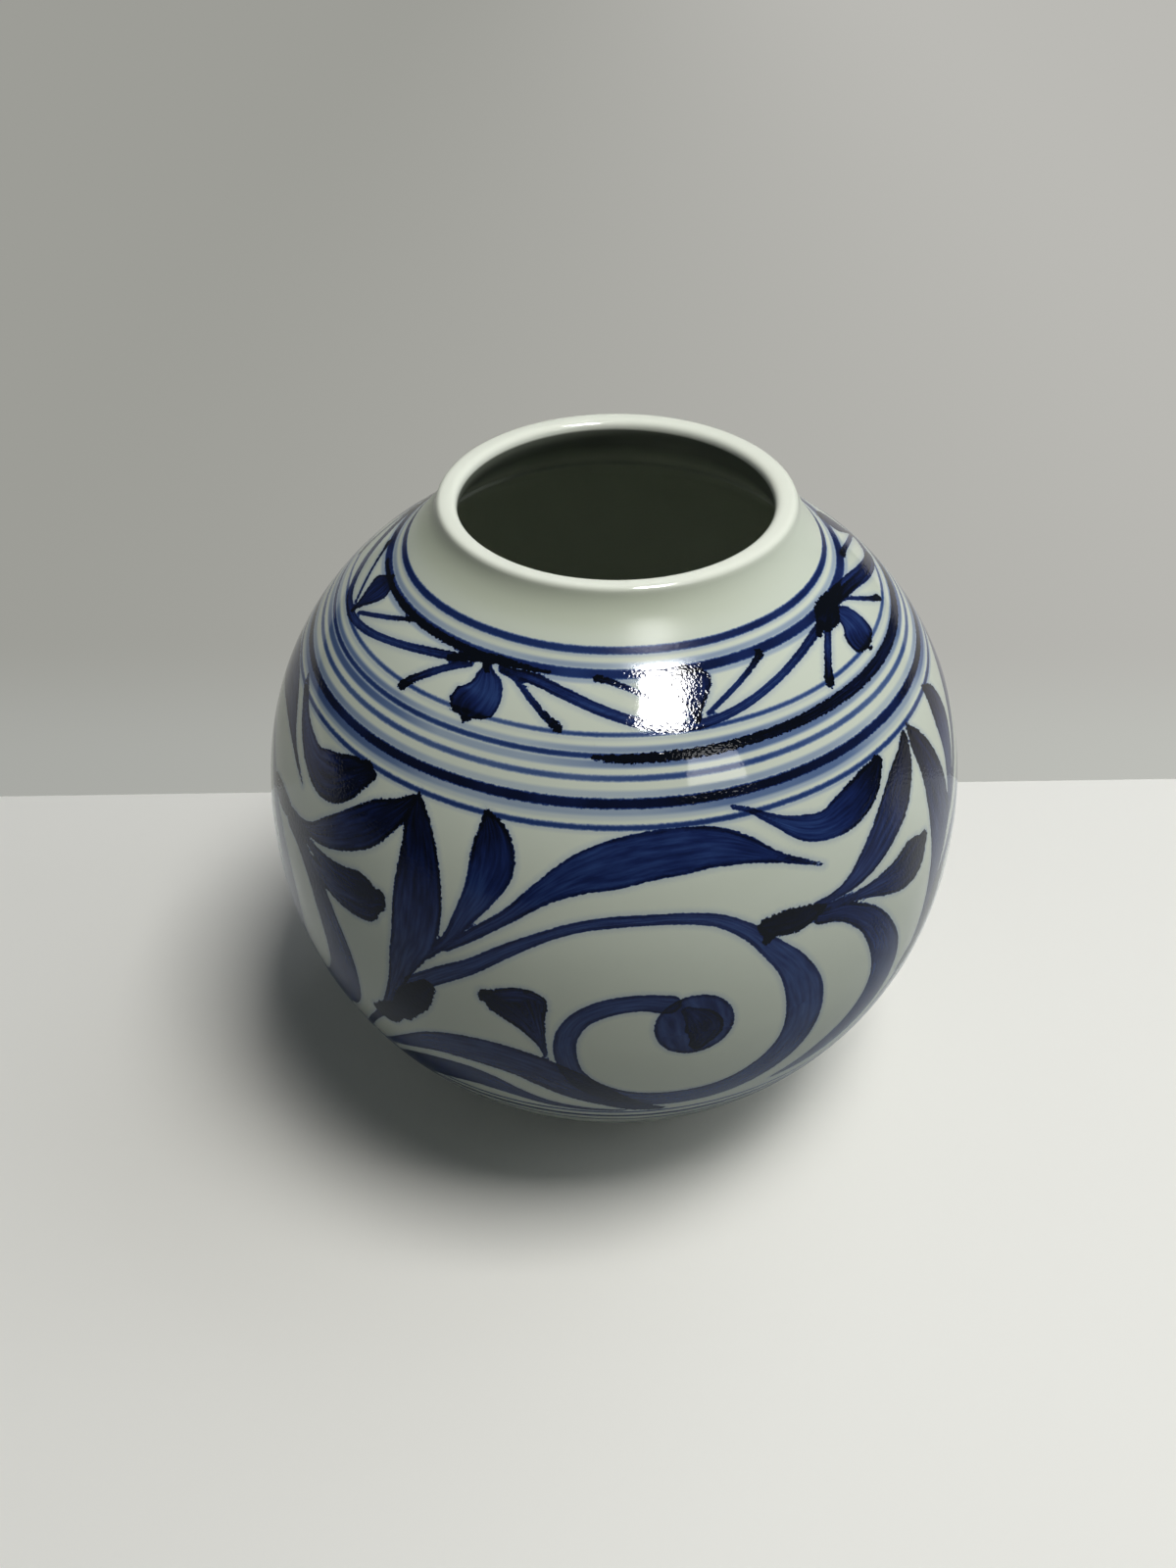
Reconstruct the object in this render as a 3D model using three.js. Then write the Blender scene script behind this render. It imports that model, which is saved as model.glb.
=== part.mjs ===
// Globular porcelain jar with a short collar and a rolled lip, painted in cobalt under a clear glaze.
// It is built as a potter builds it: a lower bowl, an upper bowl, a collar and a foot ring are thrown
// and turned apart, then luted together with slip at three flat seams and fired into one body.
// Millimetres, +Z up, origin on the table at the middle of the foot ring.
import * as THREE from 'three';

// Body
const BELLY_RADIUS = 97.5;         // widest outer radius
const BELLY_HEIGHT = 90;           // widest level above the table
const SHOULDER_FULLNESS = 2.25;    // exponent of the upper curve: 2 is an ellipse, more is squarer
const BOWL_FULLNESS = 2.05;        // exponent of the lower curve
const WALL = 5.5;                  // thickness of the wall at the belly
const FLOOR = 8;                   // thickness of the floor
const FLOOR_RADIUS = 44;           // radius of the flat floor inside

// Collar and lip
const SEAT_HEIGHT = 168.4;         // level of the collar's seat above the table
const SEAT_RADIUS = 57;            // outer radius of the collar where it stands on the shoulder
const SEAT_WIDTH = 7.5;            // width of the seat
const OPENING_EDGE = 2;            // thickness of the upper bowl's edge round its opening
const COLLAR_HEIGHT = 13.6;        // from the seat to the middle of the lip's roll
const NECK_RISE = 70;              // slope of the neck where it meets the lip, in degrees from level
const HOLLOW_REACH = 4;            // how far the shoulder's slope runs on before the neck's hollow turns it up
const NECK_REACH = 5;              // how far the neck's slope runs down from the lip before the hollow
const MOUTH_RADIUS = 39.75;        // clear radius of the mouth, inside the lip
const LIP_ROLL = 2.75;             // radius of the lip's roll

// Foot
const FOOT_RADIUS = 46;            // outer radius of the foot ring at the table
const FOOT_WIDTH = 7;              // width of the foot ring at the table
const FOOT_HEIGHT = 7;             // from the table to the bowl's flat underside
const FOOT_BEVEL = 1.2;            // bevel on the two edges of the ring that meet the table
const FOOT_SPLAY = 1.5;            // how far the ring widens towards the bowl, on each side
const FOOT_LEDGE = 0.9;            // how far the flat underside runs out past the foot ring

// Seams
const SEAM = 1;                    // thickness of the slip
const SEAM_RIDGE = 1.5;            // how far the belly seam's slip stands out inside the jar

// How finely the curves are cut
const AROUND = 72;
const OUTER_STEPS = 12;
const INNER_STEPS = 8;
const COLLAR_STEPS = 6;
const LIP_STEPS = 6;

// Materials
const glazedPorcelain = { color: 0xdfe2d9, roughness: 0.12, metalness: 0 };
const barePorcelain = { color: 0xd8cfbf, roughness: 0.75, metalness: 0 };
const firedSlip = { color: 0xd9d6cb, roughness: 0.3, metalness: 0 };

// The walls are superellipses about the widest level: (radius / width)^n + (rise / reach)^n = 1.
// The reach is how far the curve would run, above or below the widest level, to meet the axis.
function reachThrough(radius, rise, width, n) {
  return rise / (1 - (radius / width) ** n) ** (1 / n);
}

// Radius of such a curve at a rise from its widest level.
function radiusAt(rise, width, reach, n) {
  return width * (1 - (rise / reach) ** n) ** (1 / n);
}

// Points [radius, rise] along such a curve from one rise to another, evenly spaced in angle.
function wallCurve(fromRise, toRise, width, reach, n, steps) {
  const angleOf = (rise) => Math.asin((rise / reach) ** (n / 2));
  const points = [];
  for (let i = 0; i <= steps; i++) {
    const angle = THREE.MathUtils.lerp(angleOf(fromRise), angleOf(toRise), i / steps);
    const rise = reach * Math.sin(angle) ** (2 / n);
    points.push([radiusAt(rise, width, reach, n), rise]);
  }
  return points;
}

// Points [radius, height] along a cubic curve with a handle at each end, both ends included.
function sweptCurve(start, startHandle, endHandle, end, steps) {
  const corners = [start, startHandle, endHandle, end].map((corner) => new THREE.Vector2(...corner));
  const curve = new THREE.CubicBezierCurve(...corners);
  return curve.getPoints(steps).map((point) => [point.x, point.y]);
}

// Turns a closed outline of [radius, height] points about the jar's axis. The outline runs round the
// wall with the clay on its left, and its last point joins its first.
function turned(name, outline, look) {
  const points = [...outline, outline[0]].map(([radius, height]) => new THREE.Vector2(radius, height));
  const geometry = new THREE.LatheGeometry(points, AROUND);
  geometry.rotateX(Math.PI / 2);
  const mesh = new THREE.Mesh(geometry, new THREE.MeshStandardMaterial(look));
  mesh.name = name;
  return mesh;
}

// A flat ring of slip between two sections.
function slipRing(name, innerRadius, lowRadius, highRadius, low) {
  const high = low + SEAM;
  const outline = [
    [innerRadius, low],
    [lowRadius, low],
    [highRadius, high],
    [innerRadius, high],
  ];
  return turned(name, outline, firedSlip);
}

// Levels and radii that the sections share
const halfSeam = SEAM / 2;
const cavityRadius = BELLY_RADIUS - WALL;
const openingRadius = SEAT_RADIUS - SEAT_WIDTH;
const openingHeight = SEAT_HEIGHT - SEAM;
const ringTop = FOOT_HEIGHT - SEAM;
const ringTopOuter = FOOT_RADIUS + FOOT_SPLAY;
const ringTopInner = FOOT_RADIUS - FOOT_WIDTH - FOOT_SPLAY;

// How far the outer and inner curves of the two bowls reach above and below the widest level
const shoulderRise = SEAT_HEIGHT - BELLY_HEIGHT;
const shoulderReach = reachThrough(SEAT_RADIUS, shoulderRise, BELLY_RADIUS, SHOULDER_FULLNESS);
const edgeRise = openingHeight - OPENING_EDGE - BELLY_HEIGHT;
const domeReach = reachThrough(openingRadius, edgeRise, cavityRadius, SHOULDER_FULLNESS);
const undersideDrop = BELLY_HEIGHT - FOOT_HEIGHT;
const bowlReach = reachThrough(ringTopOuter + FOOT_LEDGE, undersideDrop, BELLY_RADIUS, BOWL_FULLNESS);
const floorDrop = undersideDrop - FLOOR;
const cavityReach = reachThrough(FLOOR_RADIUS, floorDrop, cavityRadius, BOWL_FULLNESS);

// The ring that the jar stands on, splayed towards the bowl above it.
function footRing() {
  const footInner = FOOT_RADIUS - FOOT_WIDTH;
  const outline = [
    [footInner + FOOT_BEVEL, 0],
    [FOOT_RADIUS - FOOT_BEVEL, 0],
    [FOOT_RADIUS, FOOT_BEVEL],
    [ringTopOuter, ringTop],
    [ringTopInner, ringTop],
    [footInner, FOOT_BEVEL],
  ];
  return turned('foot_ring', outline, barePorcelain);
}

// The slip between the foot ring and the bowl.
function footSeam() {
  return slipRing('foot_seam', ringTopInner, ringTopOuter, ringTopOuter, ringTop);
}

// The lower bowl: a flat underside, the wall up to the belly seam, and the flat floor inside.
function lowerBowl() {
  const below = ([radius, drop]) => [radius, BELLY_HEIGHT - drop];
  const outside = wallCurve(undersideDrop, halfSeam, BELLY_RADIUS, bowlReach, BOWL_FULLNESS, OUTER_STEPS);
  const inside = wallCurve(halfSeam, floorDrop, cavityRadius, cavityReach, BOWL_FULLNESS, INNER_STEPS);
  const outline = [[0, FOOT_HEIGHT], ...outside.map(below), ...inside.map(below), [0, FOOT_HEIGHT + FLOOR]];
  return turned('lower_bowl', outline, glazedPorcelain);
}

// The slip between the two bowls, wiped flush outside and left standing as a low ridge inside.
function bellySeam() {
  const outer = radiusAt(halfSeam, BELLY_RADIUS, bowlReach, BOWL_FULLNESS);
  return slipRing('belly_seam', cavityRadius - SEAM_RIDGE, outer, outer, BELLY_HEIGHT - halfSeam);
}

// The upper bowl: the wall from the belly seam to the flat edge round the opening.
function upperBowl() {
  const above = ([radius, rise]) => [radius, BELLY_HEIGHT + rise];
  const topRise = openingHeight - BELLY_HEIGHT;
  const outside = wallCurve(halfSeam, topRise, BELLY_RADIUS, shoulderReach, SHOULDER_FULLNESS, OUTER_STEPS);
  const inside = wallCurve(edgeRise, halfSeam, cavityRadius, domeReach, SHOULDER_FULLNESS, INNER_STEPS);
  const outline = [...outside.map(above), [openingRadius, openingHeight], ...inside.map(above)];
  return turned('upper_bowl', outline, glazedPorcelain);
}

// Outer radius of the shoulder where the upper bowl ends, just below the collar's seat.
function shoulderEndRadius() {
  return radiusAt(openingHeight - BELLY_HEIGHT, BELLY_RADIUS, shoulderReach, SHOULDER_FULLNESS);
}

// The slip under the collar, its outer edge carrying on the shoulder's curve.
function collarSeam() {
  return slipRing('collar_seam', openingRadius, shoulderEndRadius(), SEAT_RADIUS, openingHeight);
}

// The collar and its rolled lip. Outside, the shoulder's slope turns up in a wide hollow into the neck, which
// runs on round the lip. Inside, the collar leans from the seat in to the mouth, undercut below the lip.
function collar() {
  const rollMiddle = MOUTH_RADIUS + LIP_ROLL;
  const lipHeight = SEAT_HEIGHT + COLLAR_HEIGHT;
  const onRoll = (angle) => [rollMiddle + LIP_ROLL * Math.cos(angle), lipHeight + LIP_ROLL * Math.sin(angle)];
  const lean = THREE.MathUtils.degToRad(90 - NECK_RISE);
  const [neckRadius, neckHeight] = onRoll(lean);
  const slope = Math.atan(SEAM / (shoulderEndRadius() - SEAT_RADIUS));
  const handle = COLLAR_HEIGHT / 3;
  const outside = sweptCurve(
    [SEAT_RADIUS, SEAT_HEIGHT],
    [SEAT_RADIUS - HOLLOW_REACH * Math.cos(slope), SEAT_HEIGHT + HOLLOW_REACH * Math.sin(slope)],
    [neckRadius + NECK_REACH * Math.sin(lean), neckHeight - NECK_REACH * Math.cos(lean)],
    [neckRadius, neckHeight],
    COLLAR_STEPS,
  );
  const roll = [];
  for (let i = 1; i < LIP_STEPS; i++) {
    roll.push(onRoll(THREE.MathUtils.lerp(lean, Math.PI, i / LIP_STEPS)));
  }
  const inside = sweptCurve(
    [MOUTH_RADIUS, lipHeight],
    [MOUTH_RADIUS, lipHeight - handle],
    [(MOUTH_RADIUS + openingRadius) / 2, SEAT_HEIGHT + handle],
    [openingRadius, SEAT_HEIGHT],
    COLLAR_STEPS,
  );
  return turned('collar', [...outside, ...roll, ...inside], glazedPorcelain);
}

const jar = new THREE.Group();
jar.add(footRing(), footSeam(), lowerBowl(), bellySeam(), upperBowl(), collarSeam(), collar());

export default jar;
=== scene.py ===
from math import radians

import bpy
import numpy as np
from mathutils import Matrix, Vector


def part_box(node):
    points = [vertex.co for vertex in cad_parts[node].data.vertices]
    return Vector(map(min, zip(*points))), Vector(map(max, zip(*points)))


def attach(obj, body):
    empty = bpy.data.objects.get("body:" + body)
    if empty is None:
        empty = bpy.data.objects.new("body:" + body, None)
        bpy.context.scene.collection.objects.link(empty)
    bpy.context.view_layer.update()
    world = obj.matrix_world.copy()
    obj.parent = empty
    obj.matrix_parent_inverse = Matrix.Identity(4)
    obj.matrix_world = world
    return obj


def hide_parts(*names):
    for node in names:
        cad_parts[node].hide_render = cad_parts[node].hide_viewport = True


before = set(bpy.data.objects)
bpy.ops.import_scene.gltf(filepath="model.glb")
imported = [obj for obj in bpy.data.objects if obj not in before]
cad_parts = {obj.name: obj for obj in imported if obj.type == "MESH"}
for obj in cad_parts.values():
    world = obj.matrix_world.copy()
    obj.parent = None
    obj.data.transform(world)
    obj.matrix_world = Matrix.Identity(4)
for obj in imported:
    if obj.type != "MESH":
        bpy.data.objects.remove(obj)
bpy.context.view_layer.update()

MM = 0.001               # the frame is in metres, the potter's sizes are in millimetres


# The camera stands in front of the jar and above it, as the photographer did, and looks down at 39 degrees.
# Its place, aim, lens and slight roll come from fitting the jar's outline, rim and painted lines.
CAMERA_PLACE = Vector((0.0, -304.2, 337.15)) * MM
CAMERA_AIM = Vector((-7.2, 0.0, 89.3)) * MM
CAMERA_ROLL = radians(-0.62)
SENSOR = 36.0            # millimetres, as the lens is
LENS = 30.52
NEAREST_SEEN = 10 * MM

camera = bpy.data.objects.new("camera", bpy.data.cameras.new("camera"))
camera.data.sensor_width = SENSOR
camera.data.lens = LENS
camera.data.clip_start = NEAREST_SEEN
bpy.context.scene.collection.objects.link(camera)
aim = (CAMERA_AIM - CAMERA_PLACE).to_track_quat("-Z", "Y").to_matrix()
look = aim @ Matrix.Rotation(CAMERA_ROLL, 3, "Z")
camera.matrix_world = Matrix.Translation(CAMERA_PLACE) @ look.to_4x4()
bpy.context.scene.camera = camera
bpy.context.scene.view_settings.view_transform = "Standard"


# A pale table top, and a grey ground beyond its back edge, which runs close behind the jar. The table is a
# plain matt sheet: it keeps the jar's shadow and throws back less light than it shows, and what the glaze
# mirrors of it is painted shade in front of the jar and pale behind. The ground glows with painted light
# where the camera and the glaze see it, lighter to the right and darker further off, and is a dim matt
# sheet to all other light.
STAGE_REACH = 4.0        # how far the sheets run to every side, in metres
EDGE_BEHIND = 107.6 * MM   # where the table ends behind the jar's middle
EDGE_SLANT = 0.0302      # how far that edge runs away from the viewer per unit to the right
MIRRORED_SHADE_TURNS = (-0.08, 0.04)   # the tone that is mirrored of the table turns between these places along Y
GROUND_TURNS = (-0.35, 0.45)  # the ground's tone turns from left to right between these along X,
GROUND_FADES = (0.12, 0.22)   # and from near to far between these along Y


def linear(code):
    """An sRGB colour written as six hex digits, turned to linear red, green, blue and an alpha of one."""
    srgb = np.array([int(code[i:i + 2], 16) for i in (0, 2, 4)]) / 255
    low, high = srgb / 12.92, ((srgb + 0.055) / 1.055) ** 2.4
    return (*np.where(srgb <= 0.04045, low, high).tolist(), 1.0)


def add_node(tree, kind, sockets=None, **settings):
    """Adds a node, sets what settings names, and fills each socket, by name or number, with a value or a
    link. A Map Range has its value at 0, its range at 1 and 2, and the range it gives at 3 and 4. A Mix of
    colours has its share at 0 and the two colours at 6 and 7, and gives the mixed one at 2."""
    node = tree.nodes.new("ShaderNode" + kind)
    for name, value in settings.items():
        setattr(node, name, value)
    for name, value in (sockets or {}).items():
        if isinstance(value, bpy.types.NodeSocket):
            tree.links.new(value, node.inputs[name])
        else:
            node.inputs[name].default_value = value
    return node


def new_material(name):
    """An empty node material and its tree."""
    material = bpy.data.materials.new(name)
    material.use_nodes = True
    material.node_tree.nodes.clear()
    return material, material.node_tree


def stage_sheet(name, near, far, material):
    """A flat four-sided sheet at table level between two lines across the view. Each line is a start and a
    slant, and runs along y = start + slant * x."""
    corners = [(side * STAGE_REACH, start + slant * side * STAGE_REACH, 0.0)
               for (start, slant), side in ((near, -1), (near, 1), (far, 1), (far, -1))]
    mesh = bpy.data.meshes.new(name)
    mesh.from_pydata(corners, [], [(0, 1, 2, 3)])
    mesh.materials.append(material)
    sheet = bpy.data.objects.new(name, mesh)
    bpy.context.scene.collection.objects.link(sheet)


SOFT = {"interpolation_type": "SMOOTHSTEP"}   # a Map Range that starts and ends gently

table_paint, tree = new_material("matt_table_paint")
seen = add_node(tree, "LightPath").outputs
away = add_node(tree, "SeparateXYZ", {0: add_node(tree, "TexCoord").outputs["Object"]}).outputs["Y"]
# What the glaze mirrors of the table is painted shade in front of the jar, turning to pale behind.
behind = add_node(tree, "MapRange", {0: away, 1: MIRRORED_SHADE_TURNS[0], 2: MIRRORED_SHADE_TURNS[1]}, **SOFT).outputs[0]
mirrored_tone_with_painted_shade = add_node(tree, "Mix", {0: behind, 6: linear("969da5"), 7: linear("e6e9e9")}, data_type="RGBA")
shown = add_node(tree, "BsdfDiffuse", {"Color": linear("f3f3ef")}).outputs[0]
mirrored = add_node(tree, "BsdfDiffuse", {"Color": mirrored_tone_with_painted_shade.outputs[2]}).outputs[0]
bounced = add_node(tree, "BsdfDiffuse", {"Color": linear("a6a6a3")}).outputs[0]
unseen = add_node(tree, "MixShader", {0: seen["Is Glossy Ray"], 1: bounced, 2: mirrored}).outputs[0]
mixed = add_node(tree, "MixShader", {0: seen["Is Camera Ray"], 1: unseen, 2: shown}).outputs[0]
add_node(tree, "OutputMaterial", {"Surface": mixed})
stage_sheet("table_top", (-STAGE_REACH, 0.0), (EDGE_BEHIND, EDGE_SLANT), table_paint)

painted_light_ground, tree = new_material("glowing_ground_with_painted_light")
seen = add_node(tree, "LightPath").outputs
either = {0: seen["Is Camera Ray"], 1: seen["Is Glossy Ray"]}
seen_or_mirrored = add_node(tree, "Math", either, operation="MAXIMUM").outputs[0]
# The ground's glow is painted light, lighter to the right and darker further off; other light finds it dim.
place = add_node(tree, "TexCoord").outputs["Object"]
across, away, _ = add_node(tree, "SeparateXYZ", {0: place}).outputs
share = add_node(tree, "MapRange", {0: across, 1: GROUND_TURNS[0], 2: GROUND_TURNS[1]}, **SOFT).outputs[0]
near = add_node(tree, "Mix", {0: share, 6: linear("a7a8a3"), 7: linear("c2c3bd")}, data_type="RGBA")
far = add_node(tree, "Mix", {0: share, 6: linear("9d9d97"), 7: linear("bbbab5")}, data_type="RGBA")
far_off = add_node(tree, "MapRange", {0: away, 1: GROUND_FADES[0], 2: GROUND_FADES[1]}, **SOFT).outputs[0]
tone = add_node(tree, "Mix", {0: far_off, 6: near.outputs[2], 7: far.outputs[2]}, data_type="RGBA")
shown = add_node(tree, "Emission", {"Color": tone.outputs[2], "Strength": 1.0}).outputs[0]
bounced = add_node(tree, "BsdfDiffuse", {"Color": linear("787876")}).outputs[0]
mixed = add_node(tree, "MixShader", {0: seen_or_mirrored, 1: bounced, 2: shown}).outputs[0]
add_node(tree, "OutputMaterial", {"Surface": mixed})
stage_sheet("ground", (EDGE_BEHIND, EDGE_SLANT), (STAGE_REACH, 0.0), painted_light_ground)


# The light: one square panel level in the ceiling above and to the right, and broad dim walls of light on
# the right, behind on the right and on the left. The glaze mirrors none of them. It mirrors two sheets that
# stand for them and that nothing else sees: the ceiling panel, bright, and a fainter window beyond it.
JAR_MIDDLE = Vector((0.0, 0.0, 0.09))
PANEL_PLACE = Vector((0.47, -0.27, 1.60))
PANEL_SIDE = 0.63        # places and sides are in metres, as the room's are
PANEL_WATTS = 18.5
WALLS_OF_LIGHT = [       # name, place, side, watts and colour
    ("wall_of_light_right", (1.41, 0.0, 1.78), 1.4, 5.8, "fbfdff"),
    ("low_light_right", (1.99, 0.0, 1.02), 1.0, 4.4, "f6faff"),
    ("wall_of_light_right_behind", (1.05, 1.05, 1.70), 1.4, 5.0, "f6faff"),
    ("low_light_right_behind", (1.46, 1.46, 0.84), 1.0, 2.0, "f6faff"),
    ("low_light_left", (-2.0, 0.0, 1.02), 1.0, 1.4, "f0f6ff"),
]
PANEL_PICTURE = [(0.21, -0.80), (0.17, -0.14), (0.51, -0.12), (0.605, -0.80)]
PANEL_GLOW = 55.0        # strength of the sheet that the glaze mirrors
WINDOW_PICTURE = [(0.90, -1.66), (0.70, -1.08), (1.30, -1.00), (1.75, -1.50)]
WINDOW_GLOW = 4.2
ROOM_GLOW = 0.06         # strength of the faint light from all round


def panel(name, place, side, watts, colour, turned_to_jar=True):
    """A square lamp at a place in metres that faces the jar, or straight down, and that nothing mirrors."""
    lamp = bpy.data.lights.new(name, "AREA")
    lamp.shape = "SQUARE"
    lamp.size = side
    lamp.energy = watts
    lamp.color = linear(colour)[:3]
    holder = bpy.data.objects.new(name, lamp)
    holder.location = place
    if turned_to_jar:
        holder.rotation_mode = "QUATERNION"
        holder.rotation_quaternion = (JAR_MIDDLE - place).to_track_quat("-Z", "Y")
    holder.visible_glossy = False
    bpy.context.scene.collection.objects.link(holder)


panel("ceiling_panel", PANEL_PLACE, PANEL_SIDE, PANEL_WATTS, "fffdf8", turned_to_jar=False)
for name, place, side, watts, colour in WALLS_OF_LIGHT:
    panel(name, Vector(place), side, watts, colour)


def seen_in_the_glaze(name, strength, corners):
    """A glowing level sheet as high as the ceiling panel, with its (x, y) corners in metres, that only
    mirrored rays can see."""
    glow, tree = new_material(name)
    light = add_node(tree, "Emission", {"Strength": strength}).outputs[0]
    add_node(tree, "OutputMaterial", {"Surface": light})
    mesh = bpy.data.meshes.new(name)
    mesh.from_pydata([(x, y, PANEL_PLACE.z) for x, y in corners], [], [(0, 1, 2, 3)])
    mesh.materials.append(glow)
    picture = bpy.data.objects.new(name, mesh)
    picture.visible_camera = False
    picture.visible_diffuse = False
    picture.visible_shadow = False
    picture.visible_transmission = False
    bpy.context.scene.collection.objects.link(picture)


seen_in_the_glaze("ceiling_panel_picture", PANEL_GLOW, PANEL_PICTURE)
seen_in_the_glaze("window_picture", WINDOW_GLOW, WINDOW_PICTURE)

world = bpy.data.worlds.new("room_light")
world.use_nodes = True
tree = world.node_tree
tree.nodes.clear()
seen = add_node(tree, "LightPath").outputs
room = add_node(tree, "Background", {"Color": linear("cdd6de"), "Strength": ROOM_GLOW}).outputs[0]
beyond = add_node(tree, "Background", {"Color": linear("b0b1ad"), "Strength": 1.0}).outputs[0]
mixed = add_node(tree, "MixShader", {0: seen["Is Camera Ray"], 1: room, 2: beyond}).outputs[0]
add_node(tree, "OutputWorld", {"Surface": mixed})
bpy.context.scene.world = world


# The foot ring is porcelain, turned on the wheel and splayed towards the bowl. It is wiped clean of glaze
# where it stands on the kiln shelf, so it shows bare, faintly toasted clay there and glaze higher up.
FOOT_INNER = 39.0        # radii at the table
FOOT_OUTER = 46.0
FOOT_TOP_INNER = 37.5
FOOT_EDGE = 1.1          # rounding of the two edges at the table
FOOT_STEP = 0.35         # how far apart the points of its outline lie
COLUMNS = 640            # one every 0.96 mm round the belly, fine enough to carry the painting's edges
CREASE = radians(38)     # where two faces meet more sharply than this, the edge is shaded as an edge
UNPAINTED = -200.0       # the distance along the wall that the foot gets, where nothing is painted
ARC_LENGTH = 1.6         # of a rounded right angle, in units of how much of each side it takes


def cad_section(node):
    """The outer radius and the lowest and highest level of a CAD section, in millimetres to a tenth."""
    low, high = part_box(node)
    return [round(value / MM, 1) for value in (high[0], low[2], high[2])]


def rounded(outline, edge_radii, step):
    """An outline of (radius, height) corners, each rounded by an arc of its own size, with points a step
    apart on the arcs and on the straight runs between them. An arc is
    start * (1 - t)^2 + corner * 2t(1 - t) + end * t^2."""
    corners = np.array(outline, float)
    points = []
    for i in range(len(corners)):
        corner, before, after = corners[i], corners[i - 1], corners[(i + 1) % len(corners)]
        back, on = before - corner, after - corner
        size = edge_radii[i]
        start = corner + back / np.linalg.norm(back) * size
        end = corner + on / np.linalg.norm(on) * size
        t = np.linspace(0, 1, max(2, int(np.ceil(ARC_LENGTH * size / step)) + 1))[:, None]
        arc = start * (1 - t) ** 2 + corner * 2 * t * (1 - t) + end * t ** 2
        points.append(arc if size else corner[None, :])
        next_start = after - on / np.linalg.norm(on) * edge_radii[(i + 1) % len(corners)]
        run = np.linalg.norm(next_start - end)
        t = np.linspace(0, 1, max(2, int(np.ceil(run / step)) + 1))[1:-1, None]
        points.append(end * (1 - t) + next_start * t)
    return np.concatenate(points)


def turned(name, rows, node):
    """A surface of revolution with rows of (radius, height, distance along the wall): column by column they
    stand at an azimuth a, at x = radius * sin a, y = -radius * cos a, z = height. They run with the clay on
    the left. If they start and end on the axis, the ends are single points, and otherwise the last row
    joins the first. The distances are kept as an attribute, in millimetres."""
    azimuth = np.arange(COLUMNS) * 2 * np.pi / COLUMNS
    capped = rows[0, 0] == 0
    r, z, s = (rows[1:-1] if capped else rows).T[..., None]
    grid = np.stack([r * np.sin(azimuth), -r * np.cos(azimuth), z + 0 * azimuth], -1).reshape(-1, 3)
    level = (s + 0 * azimuth).ravel()
    index = np.arange(len(grid)).reshape(len(r), COLUMNS)
    turned_on = np.roll(index, -1, axis=1)
    corners = [index, turned_on, np.roll(turned_on, -1, axis=0), np.roll(index, -1, axis=0)]
    quads = np.stack(corners, -1)
    quads = (quads[:-1] if capped else quads).reshape(-1, 4)
    fans = np.empty((0, 3), int)
    if capped:
        first, last = len(grid), len(grid) + 1
        grid = np.concatenate([grid, [[0, 0, rows[0, 1]], [0, 0, rows[-1, 1]]]])
        level = np.concatenate([level, [rows[0, 2], rows[-1, 2]]])
        low_fan = np.stack([np.full(COLUMNS, first), turned_on[0], index[0]], -1)
        high_fan = np.stack([index[-1], turned_on[-1], np.full(COLUMNS, last)], -1)
        fans = np.concatenate([low_fan, high_fan])
    mesh = bpy.data.meshes.new(name)
    mesh.vertices.add(len(grid))
    mesh.vertices.foreach_set("co", (grid * MM).ravel())
    mesh.loops.add(quads.size + fans.size)
    mesh.loops.foreach_set("vertex_index", np.concatenate([quads.ravel(), fans.ravel()]))
    mesh.polygons.add(len(quads) + len(fans))
    starts = np.concatenate([np.arange(len(quads)) * 4, quads.size + np.arange(len(fans)) * 3])
    mesh.polygons.foreach_set("loop_start", starts)
    mesh.update(calc_edges=True)
    mesh.validate()
    mesh.shade_smooth()
    mesh.set_sharp_from_angle(angle=CREASE)
    mesh.attributes.new("wall_mm", "FLOAT", "POINT").data.foreach_set("value", level)
    piece = bpy.data.objects.new(name, mesh)
    bpy.context.scene.collection.objects.link(piece)
    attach(piece, "root")
    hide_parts(node)
    return piece


foot_radius, _, foot_top = cad_section("foot_ring")
corners = [(FOOT_INNER, 0.0), (FOOT_OUTER, 0.0), (foot_radius, foot_top), (FOOT_TOP_INNER, foot_top)]
outline = rounded(corners, [FOOT_EDGE, FOOT_EDGE, 0.0, 0.0], FOOT_STEP)
rows = np.column_stack([outline, np.full(len(outline), UNPAINTED)])
foot_ring = turned("turned_foot_ring", rows, "foot_ring")

# Bare fired porcelain is pale, matt and a little gritty, and warmer in colour where the fire toasted it
# just below the glaze. Above that the ring is nearly as glossy and grey-green as the walls.
TOAST = (2.0 * MM, 3.4 * MM)   # the toasting comes up between these levels
GLAZE = (3.4 * MM, 3.7 * MM)   # and the glaze starts between these
WANDER = 1.6 * MM        # up to this much is added to the height round the ring, so that the levels wander
WANDERS = 90.0           # in a metre: one every 11 mm
GRAINS = 2200.0          # in a metre: one every 0.45 mm, where real grit is finer, so that they show
GRIT_RISE = 0.06 * MM
BARE_ROUGHNESS = 0.72
GLAZED_ROUGHNESS = 0.1
GLASS_IOR = 1.5

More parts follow.
